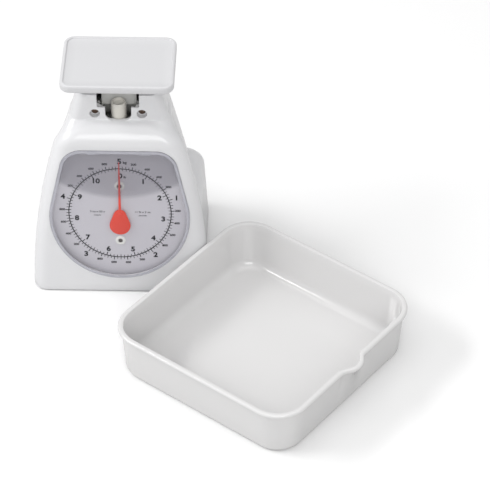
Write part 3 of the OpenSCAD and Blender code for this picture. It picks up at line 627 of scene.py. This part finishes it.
def cut_notch(piece, form):
    """Cuts the stepped notch for the bracket and the knob, and the pit the knob stands in."""
    s = form.s
    front = s.tower_front + 6 * MM
    lying = Matrix.Rotation(math.pi / 2, 4, "X")
    hole = bmesh.new()
    plate(hole, rounded_loop(BRACKET_HIGH.x + s.notch_side, s.notch_depth, 1.6 * MM, 2, 6),
          -BRACKET_HIGH.y - s.notch_side, front,
          Matrix.Translation((0, 0, form.tower_top)) @ lying)
    cut(piece, hole)
    knob, middle = KNOB_HIGH.x, (KNOB_LOW.y + KNOB_HIGH.y) / 2
    half_high = 15 * MM
    step = form.hood_top + 0.5 * MM
    hole = bmesh.new()
    plate(hole, rounded_loop(knob + s.thumb_gap, half_high, 6 * MM, 2, 10),
          -middle - knob - 2 * MM, front,
          Matrix.Translation((0, 0, step + half_high)) @ lying)
    cut(piece, hole)
    pit, pit_high = knob + 0.5 * MM, 12 * MM
    hole = bmesh.new()
    turned(hole, [(0, 0), (pit, 0), (pit, pit_high), (0, pit_high)],
           Matrix.Translation((0, middle, KNOB_LOW.z - 1 * MM)))
    cut(piece, hole)


def line_wells(piece, form):
    """Sinks the wells of the two front screws and gives each its lining."""
    s = form.s
    wells = [Matrix.Translation((side * s.screw_spread, -s.tower_front,
                                 form.tower_top - s.screw_drop))
             @ Matrix.Rotation(math.pi / 2, 4, "X") for side in (-1, 1)]
    for well in wells:
        hole = bmesh.new()
        turned(hole, in_mm([(0, -5), (4.7, -5), (4.7, 5), (0, 5)]), well, 40)
        cut(piece, hole)
    bm = bmesh.new()
    bm.from_mesh(piece.data)
    for well in wells:
        turned(bm, in_mm([(1.7, -7), (7, -7), (7, -1.6), (6.2, -1.2), (4.7, -1.2), (4.6, -5),
                          (1.7, -5), (1.7, -7)]), well, 40)
    bmesh.ops.recalc_face_normals(bm, faces=bm.faces)
    for face in bm.faces:
        face.smooth = True
    bm.to_mesh(piece.data)
    bm.free()
    piece.data.set_sharp_from_angle(angle=math.radians(32))


class SCALE_OT_housing(bpy.types.Operator):
    """Builds the moulded housing with its window, notch and screw wells"""

    bl_idname = "scale.housing"
    bl_label = "Housing"

    def execute(self, context):
        form = HousingForm(context.scene.scale_housing)
        piece = housing_skin(form)
        # The window's recess, and through it the opening inside the ledge that the lens seats on
        for grow, low in in_mm([(0, -1.2), (-2, -9)]):
            hole = bmesh.new()
            plate(hole, window_loop(context.scene.scale_dial, grow), low, 12 * MM, DIAL)
            cut(piece, hole)
        cut_notch(piece, form)
        line_wells(piece, form)
        return {"FINISHED"}


class SCALE_OT_platform(bpy.types.Operator):
    """Builds the weighing platform with its low rim"""

    bl_idname = "scale.platform"
    bl_label = "Platform"

    def execute(self, context):
        half_x, half_y = PLATFORM_HIGH.x, PLATFORM_HIGH.y
        low = PLATFORM_HIGH.z - 7.2 * MM
        top, corner = PLATFORM_HIGH.z, 10 * MM
        rim, wall, recess, deck = 3 * MM, 2.2 * MM, 1 * MM, 2.4 * MM
        # Inset from the edge in millimetres, and height: the deck, the rim, the side, the inside
        path = [(12, top - recess), (rim / MM + 0.5, top - recess),
                (rim / MM + 0.15, top - recess + 0.12 * MM), (rim / MM, top - 0.3 * MM),
                (rim / MM - 0.3, top - 0.04 * MM), (2.0, top), (1.2, top - 0.1 * MM),
                (0.45, top - 0.5 * MM), (0.12, top - 1.2 * MM), (0.0, top - 2.2 * MM),
                (0.0, low + 1.2 * MM), (0.2, low + 0.5 * MM), (0.6, low + 0.1 * MM), (1.0, low),
                (wall / MM - 0.4, low), (wall / MM, low + 0.4 * MM),
                (wall / MM, top - recess - deck), (9, top - recess - deck)]
        rings = []
        for inset, z in path:
            gap = inset * MM
            loop = rounded_loop(half_x - gap, half_y - gap, max(corner - gap, 0.5 * MM), 8, 14)
            rings.append([Vector((x, y, z)) for x, y in loop])
        bm = bmesh.new()
        loft(bm, rings)
        ribs = BRACKET_HIGH.x + 3 * MM
        under = top - recess - deck
        for side in (-1, 1):
            block(bm, (side * ribs - 0.75 * MM, -half_y + 2 * MM, under - 2.6 * MM),
                  (side * ribs + 0.75 * MM, half_y - 2 * MM, under + 0.5 * MM))
            turned(bm, [(0, PLATFORM_LOW.z), (4 * MM, PLATFORM_LOW.z), (4 * MM, under + 0.5 * MM),
                        (0, under + 0.5 * MM)],
                   Matrix.Translation((side * 10 * MM, BRACKET_LOW.y + 20.45 * MM, 0)), 32)
        new_piece("platform_tray", bm, "carriage",
                  bpy.data.materials["platform_moulding"], ["platform"])
        return {"FINISHED"}


def window_rings(d, path):
    """The window's outline on the face, once for each (growth, height) pair in millimetres."""
    return [[DIAL @ Vector((x, y, n)) for x, y in window_loop(d, grow)] for grow, n in in_mm(path)]


class SCALE_OT_lens(bpy.types.Operator):
    """Builds the clear window with its raised rim and its two clips"""

    bl_idname = "scale.lens"
    bl_label = "Lens"

    def execute(self, context):
        d = context.scene.scale_dial
        back, clip_x, clip_half = -1.2 * MM, 24 * MM, 4 * MM
        bm = bmesh.new()
        loft(bm, window_rings(d, [
            (-8, -1.2), (-0.2, -1.2), (-0.2, 0.5), (-0.5, 0.9), (-1.0, 1), (-2.6, 1),
            (-3.2, 0.85), (-3.7, 0.35), (-4.4, 0.2), (-8, 0.2)]))
        for side in (-1, 1):
            block(bm, (side * clip_x - clip_half, d.window_top - 4.6 * MM, back - 3.4 * MM),
                  (side * clip_x + clip_half, d.window_top - 3.4 * MM, back + 0.1 * MM), DIAL)
        new_piece("dial_window", bm, "stand", bpy.data.materials["clear_plastic"],
                  ["lens"])
        rings = window_rings(d, [(-2.9, 0.15), (-3.1, 0.75), (-2.7, 1.05), (-1.0, 1.1),
                                 (-0.45, 0.9), (-0.25, 0.5), (-0.25, 0.1), (-2.9, 0.1)])
        bm = bmesh.new()
        loft(bm, rings + rings[:1], cap_start=False, cap_end=False)
        for side in (-1, 1):
            block(bm, (side * clip_x - clip_half, d.window_top - 3.4 * MM, 0.5 * MM),
                  (side * clip_x + clip_half, d.window_top - 0.5 * MM, 1.5 * MM), DIAL)
        bead = finish_of("window_bead", (0.6, 0.6, 0.66), 0.12, grain=0.0, alpha=0.45)
        new_piece("dial_window_bead", bm, "stand", bead)
        return {"FINISHED"}


# ---------------------------------------------------------------- dial

def letters(bm, text, size, centre, n, bold=0.0):
    """Raises a piece of generic dial print from the card."""
    curve = bpy.data.curves.new("print", "FONT")
    curve.body = text
    curve.size = size
    curve.align_x = "CENTER"
    curve.align_y = "CENTER"
    curve.offset = bold
    curve.extrude = 0.03 * MM
    curve.resolution_u = 4
    holder = bpy.data.objects.new("print", curve)
    bpy.context.scene.collection.objects.link(holder)
    mesh = as_shown(holder)
    before = set(bm.verts)
    bm.from_mesh(mesh)
    fresh = [v for v in bm.verts if v not in before]
    wide = Matrix.Translation((centre[0], centre[1], n)) @ Matrix.Diagonal((1.12, 1, 1, 1))
    bmesh.ops.transform(bm, matrix=DIAL @ wide, verts=fresh)
    bpy.data.objects.remove(holder)
    bpy.data.curves.remove(curve)
    bpy.data.meshes.remove(mesh)


def around_dial(turns, radius):
    """A place on the dial, clockwise from the top by a number of turns."""
    a = math.tau * turns
    return (radius * math.sin(a), radius * math.cos(a))


class SCALE_OT_print(bpy.types.Operator):
    """Prints the two scales on the dial card"""

    bl_idname = "scale.print"
    bl_label = "Dial print"

    def execute(self, context):
        d = context.scene.scale_dial
        ink = -d.card_depth + 0.04 * MM
        ring = d.ring_radius
        bm = bmesh.new()
        line, film = 0.45 * MM, 0.03 * MM
        turned(bm, [(ring - line, ink - film), (ring + line, ink - film), (ring + line, ink + film),
                    (ring - line, ink + film), (ring - line, ink - film)], DIAL, 180)

        def tick(turns, inner, outer, width):
            block(bm, (-width / 2, inner, ink - film), (width / 2, outer, ink + film),
                  DIAL @ Matrix.Rotation(-math.tau * turns, 4, "Z"))

        steps = d.capacity * 20
        for i in range(steps):
            long = 3.8 if i % 20 == 0 else 3.2 if i % 4 == 0 else 2.7 if i % 2 == 0 else 2.2
            tick(i / steps, ring, ring + long * MM, (0.75 if i % 4 == 0 else 0.58) * MM)
        pounds = d.capacity * 2.2
        for i in range(int(pounds * 8)):
            long = 3.6 if i % 8 == 0 else 2.8 if i % 4 == 0 else 2.1
            tick(i / 8 / pounds, ring - long * MM, ring, (0.75 if i % 8 == 0 else 0.58) * MM)
        for kilo in range(1, d.capacity):
            letters(bm, str(kilo), 6.8 * MM, around_dial(kilo / d.capacity, ring + 7.6 * MM), ink,
                    0.3 * MM)
        letters(bm, str(d.capacity), 7.4 * MM, (0.3 * MM, ring + 7.4 * MM), ink, 0.3 * MM)
        letters(bm, "kg", 3.4 * MM, (5.2 * MM, ring + 6.4 * MM), ink, 0.13 * MM)
        for kilo in range(d.capacity):
            for part in range(1, 5):
                place = around_dial((kilo + part / 5) / d.capacity, ring + 6.1 * MM)
                letters(bm, str(part * 200), 3.0 * MM, place, ink, 0.13 * MM)
        for pound in range(1, int(pounds)):
            letters(bm, str(pound), 6.8 * MM, around_dial(pound / pounds, ring - 6.8 * MM), ink,
                    0.3 * MM)
        letters(bm, "0", 6.8 * MM, (0.9 * MM, ring - 7.6 * MM), ink, 0.3 * MM)
        letters(bm, "lb", 3.2 * MM, (5.0 * MM, ring - 8.6 * MM), ink, 0.1 * MM)
        for side, first, second in ((-1, "%d kg x 50 g" % d.capacity, "metric"),
                                    (1, "%d lb x 2 oz" % pounds, "pounds")):
            letters(bm, first, 2.7 * MM, (side * 20.5 * MM, 1.5 * MM), ink, 0.04 * MM)
            letters(bm, second, 2.2 * MM, (side * 20.5 * MM, -2.1 * MM), ink, 0.03 * MM)
        ink_black = finish_of("scale_ink", tuple(context.scene.scale_finishes.ink), 0.5, grain=0.0)
        new_piece("dial_print", bm, "stand", ink_black)
        return {"FINISHED"}


class SCALE_OT_pointer(bpy.types.Operator):
    """Builds the needle with its teardrop counterweight"""

    bl_idname = "scale.pointer"
    bl_label = "Pointer"

    def execute(self, context):
        n = -context.scene.scale_dial.card_depth + 2 * MM
        thick = 1 * MM
        upper, lower = ((0, -0.6 * MM), 5.7 * MM), ((0, -11.3 * MM), 9.5 * MM)
        apart = upper[0][1] - lower[0][1]
        side = math.asin((lower[1] - upper[1]) / apart)
        tip = 54.5 * MM
        neck = 1.1 * MM
        rise = math.asin(neck / upper[1])
        outline = arc(upper[0], upper[1], side, math.pi / 2 - rise, 8)
        outline += [(0.95 * MM, tip * 0.45), (0.38 * MM, tip), (-0.38 * MM, tip),
                    (-0.95 * MM, tip * 0.45)]
        outline += arc(upper[0], upper[1], math.pi / 2 + rise, math.pi - side, 8)
        outline += arc(lower[0], lower[1], math.pi - side, math.tau + side, 40)
        bm = bmesh.new()
        plate(bm, outline, n, n + thick, DIAL)
        rims = [e for e in bm.edges if len(e.link_faces) == 2
                and e.link_faces[0].normal.angle(e.link_faces[1].normal) > 1.2]
        bmesh.ops.bevel(bm, geom=rims, offset=0.14 * MM, affect="EDGES", segments=2, profile=0.5,
                        material=-1)
        turned(bm, [(0, n + thick * 0.5), (2.4 * MM, n + thick * 0.5),
                    (2.4 * MM, n + thick + 0.4 * MM), (2.1 * MM, n + thick + 0.6 * MM),
                    (0, n + thick + 0.6 * MM)], DIAL, 36)
        new_piece("pointer_needle", bm, "pointer_group",
                  bpy.data.materials["needle_enamel"], ["pointer"])
        return {"FINISHED"}


class SCALE_OT_dial_screws(bpy.types.Operator):
    """Builds the two dial screws in their white cups"""

    bl_idname = "scale.dial_screws"
    bl_label = "Dial screws"

    def execute(self, context):
        d = context.scene.scale_dial
        places = [DIAL @ Matrix.Translation((0, side * d.screw_gap / 2, -d.card_depth))
                  for side in (-1, 1)]
        cups, heads = bmesh.new(), bmesh.new()
        for place in places:
            turned(cups, in_mm([(0, 0), (4.7, 0), (4.7, 0.35), (4.2, 0.95), (3.3, 1.3),
                                (2.5, 1.2), (2.2, 0.8), (2.0, 0.4), (0, 0.35)]), place, 40)
            turned(heads, in_mm([(0, 0.3), (1.9, 0.3), (1.9, 0.7), (1.4, 1.0), (0, 1.15)]),
                   place, 28)
            turned(heads, in_mm([(0, -6), (1.4, -6), (1.4, 0.3), (0, 0.3)]), place, 20)
        new_piece("dial_screw_cups", cups, "stand",
                  bpy.data.materials["screw_enamel"], ["dial_screws"])
        dark = finish_of("dark_steel", (0.16, 0.15, 0.14), 0.3, metallic=0.8)
        piece = new_piece("dial_screw_heads", heads, "stand", dark)
        arm, half_slot = 1.3 * MM, 0.27 * MM
        for x, y in ((arm, half_slot), (half_slot, arm)):
            hole = bmesh.new()
            for place in places:
                block(hole, (-x, -y, 0.55 * MM), (x, y, 2 * MM),
                      place @ Matrix.Rotation(0.5, 4, "Z"))
            cut(piece, hole)
        return {"FINISHED"}


class SCALE_OT_knob(bpy.types.Operator):
    """Builds the ivory zero knob with its dished top"""

    bl_idname = "scale.knob"
    bl_label = "Zero knob"

    def execute(self, context):
        radius, height = KNOB_HIGH.x / MM, (KNOB_HIGH.z - KNOB_LOW.z) / MM
        place = Matrix.Translation((0, (KNOB_LOW.y + KNOB_HIGH.y) / 2, KNOB_LOW.z))
        profile = [(0, 0), (radius - 0.8, 0), (radius, 0.8), (radius, height - 2.2),
                   (radius - 0.25, height - 1.2), (radius - 0.6, height - 0.45),
                   (radius - 1.1, height), (radius - 1.6, height - 0.1),
                   (radius - 2.0, height - 0.9), (radius - 2.5, height - 2.2),
                   (2.4, height - 2.6), (0, height - 2.7)]
        bm = bmesh.new()
        turned(bm, in_mm(profile), place, 72)
        new_piece("knob_cap", bm, "knob", bpy.data.materials["ivory_moulding"],
                  ["zero_knob"])
        return {"FINISHED"}


class SCALE_OT_bowl(bpy.types.Operator):
    """Builds the square weighing bowl with its rolled lip and spout"""

    bl_idname = "scale.bowl"
    bl_label = "Bowl"

    def execute(self, context):
        b = context.scene.scale_bowl
        centre = (BOWL_LOW + BOWL_HIGH) / 2
        reach = b.side / 2
        high = BOWL_HIGH.z
        top_half = reach - b.lip_width + 0.6 * MM
        low_half = top_half - b.draft
        inner_top, inner_low = top_half - b.wall, low_half - b.wall

        def quarter(half, radius, base, steps, up):
            bends = [math.pi / 2 * i / steps for i in range(steps + 1)]
            turns = [(half - radius * (1 - math.sin(a)), base + radius * (1 - math.cos(a)))
                     for a in bends]
            return turns if up else turns[::-1]

        path = [(low_half - b.floor_radius - 6 * MM, 0.0)]
        path += quarter(low_half, b.floor_radius, 0.0, 6, True)
        under = high - b.lip_height
        path += [((low_half + top_half) / 2, (b.floor_radius + under) / 2),
                 (top_half, under - 0.3 * MM)]
        path += [(top_half + 0.25 * MM, under), (reach - 0.7 * MM, under),
                 (reach - 0.2 * MM, under + 0.25 * MM), (reach, under + 0.8 * MM),
                 (reach, high - 1.5 * MM), (reach - 0.25 * MM, high - 0.8 * MM),
                 (reach - 0.8 * MM, high - 0.25 * MM), (reach - 1.6 * MM, high),
                 (inner_top + 1.0 * MM, high), (inner_top + 0.4 * MM, high - 0.25 * MM),
                 (inner_top, high - 0.9 * MM)]
        for t in (0.2, 0.4, 0.6, 0.8):
            path.append((inner_top + (inner_low - inner_top) * t,
                         high + (b.wall + b.fillet - high) * t))
        path += quarter(inner_low, b.fillet, b.wall, 8, False)
        path.append((inner_low - b.fillet - 5 * MM, b.wall))
        rings = []
        for half, z in path:
            corner = max(b.corner - (reach - half) * 0.9, 3 * MM)
            rise = min(max((z / high - 0.38) / 0.62, 0), 1)
            on_side = half > low_half - b.wall - 0.5 * MM
            swell = b.spout_reach * rise * rise * (3 - 2 * rise) * on_side
            ring = []
            for x, y in rounded_loop(half, half, corner, 56, 14):
                if x > half - 0.1 * MM:
                    across = min(abs(y) / (b.spout_width / 2), 1)
                    x += swell * (0.5 + 0.5 * math.cos(math.pi * across ** 1.25))
                ring.append(Vector((x, y, z)))
            rings.append(ring)
        bm = bmesh.new()
        loft(bm, rings)
        bmesh.ops.rotate(bm, verts=bm.verts, cent=(0, 0, 0),
                         matrix=Matrix.Rotation(b.turn, 3, "Z"))
        low = Vector([min(v.co[i] for v in bm.verts) for i in range(3)])
        tall = Vector([max(v.co[i] for v in bm.verts) for i in range(3)])
        middle = (low + tall) / 2
        bmesh.ops.translate(bm, verts=bm.verts, vec=(centre.x - middle.x, centre.y - middle.y, 0))
        new_piece("weighing_bowl", bm, "bowl_body",
                  bpy.data.materials["bowl_moulding"], ["bowl"])
        return {"FINISHED"}


class SCALE_OT_finishes(bpy.types.Operator):
    """Gives every node of the frame its finish"""

    bl_idname = "scale.finishes"
    bl_label = "Finishes"

    def execute(self, context):
        dress_frame(context.scene.scale_finishes)
        return {"FINISHED"}


class SCALE_OT_studio(bpy.types.Operator):
    """Builds the worktop, the lights and the camera"""

    bl_idname = "scale.studio"
    bl_label = "Studio"

    def execute(self, context):
        looks = context.scene.scale_finishes
        scene = context.scene
        bm = bmesh.new()
        bmesh.ops.create_grid(bm, x_segments=1, y_segments=1, size=6)
        white = finish_of("worktop_white", tuple(looks.floor), 0.9, grain=0.0, tone=0.0, change=0.0)
        nodes, links = white.node_tree.nodes, white.node_tree.links
        ray = nodes.new("ShaderNodeLightPath")
        quiet = nodes.new("ShaderNodeMix")
        quiet.data_type = "RGBA"
        quiet.inputs["A"].default_value = (0.65, 0.65, 0.65, 1)
        quiet.inputs["B"].default_value = (*looks.floor, 1)
        links.new(ray.outputs["Is Camera Ray"], quiet.inputs["Factor"])
        links.new(quiet.outputs["Result"], nodes["Principled BSDF"].inputs["Base Color"])
        floor = new_piece("worktop", bm, None, white)
        world = bpy.data.worlds.new("studio")
        world.use_nodes = True
        world.node_tree.nodes["Background"].inputs["Color"].default_value = (1, 1, 1, 1)
        world.node_tree.nodes["Background"].inputs["Strength"].default_value = looks.fill_light
        scene.world = world
        aim = Vector((40 * MM, -60 * MM, 80 * MM))

        def lamp(name, place, power, wide, high):
            light = bpy.data.lights.new(name, "AREA")
            light.energy = power
            light.shape = "RECTANGLE"
            light.size = wide
            light.size_y = high
            holder = bpy.data.objects.new(name, light)
            holder.location = place
            holder.rotation_euler = (aim - Vector(place)).to_track_quat("-Z", "Y").to_euler()
            scene.collection.objects.link(holder)

        lamp("key", (-1.75, -0.05, 1.55), looks.key_light, 1.3, 0.45)
        lamp("front", (0.3, -2.4, 1.6), looks.front_light, 1.6, 1.2)
        lamp("overhead", (0.1, -0.2, 2.4), looks.top_light, 2.4, 2.4)
        camera = bpy.data.cameras.new("camera")
        camera.lens = 200
        camera.sensor_width = 36
        camera.clip_end = 50
        holder = bpy.data.objects.new("camera", camera)
        holder.location = (157.2 * MM, -1924.67 * MM, 1674.17 * MM)
        holder.rotation_euler = (math.radians(49.03), 0, math.radians(1.34))
        scene.collection.objects.link(holder)
        scene.camera = holder
        scene.view_settings.view_transform = "Standard"
        return {"FINISHED"}


STEPS = [SCALE_OT_finishes, SCALE_OT_housing, SCALE_OT_platform, SCALE_OT_lens, SCALE_OT_print,
         SCALE_OT_pointer, SCALE_OT_dial_screws, SCALE_OT_knob, SCALE_OT_bowl, SCALE_OT_studio]


class SCALE_PT_panel(bpy.types.Panel):
    """Lists the pieces in the order they are built"""

    bl_idname = "SCALE_PT_panel"
    bl_label = "Kitchen Scale"
    bl_space_type = "VIEW_3D"
    bl_region_type = "UI"
    bl_category = "Kitchen Scale"

    def draw(self, context):
        for step in STEPS:
            self.layout.operator(step.bl_idname)
        for group in ("scale_housing", "scale_dial", "scale_bowl", "scale_finishes"):
            values = getattr(context.scene, group)
            box = self.layout.box()
            for name in values.bl_rna.properties.keys():
                if name not in ("name", "rna_type"):
                    box.prop(values, name)


GROUPS = {"scale_housing": HousingSizes, "scale_dial": DialSizes, "scale_bowl": BowlSizes,
          "scale_finishes": Finishes}


def register():
    for group in GROUPS.values():
        bpy.utils.register_class(group)
    for name, group in GROUPS.items():
        setattr(bpy.types.Scene, name, bpy.props.PointerProperty(type=group))
    for step in STEPS:
        bpy.utils.register_class(step)
    bpy.utils.register_class(SCALE_PT_panel)


def unregister():
    bpy.utils.unregister_class(SCALE_PT_panel)
    for step in reversed(STEPS):
        bpy.utils.unregister_class(step)
    for name in GROUPS:
        delattr(bpy.types.Scene, name)
    for group in reversed(GROUPS.values()):
        bpy.utils.unregister_class(group)


def main():
    register()
    for step in STEPS:
        area, name = step.bl_idname.split(".")
        if getattr(getattr(bpy.ops, area), name)() != {"FINISHED"}:
            raise RuntimeError("could not build " + step.bl_label)


if __name__ == "__main__":
    main()
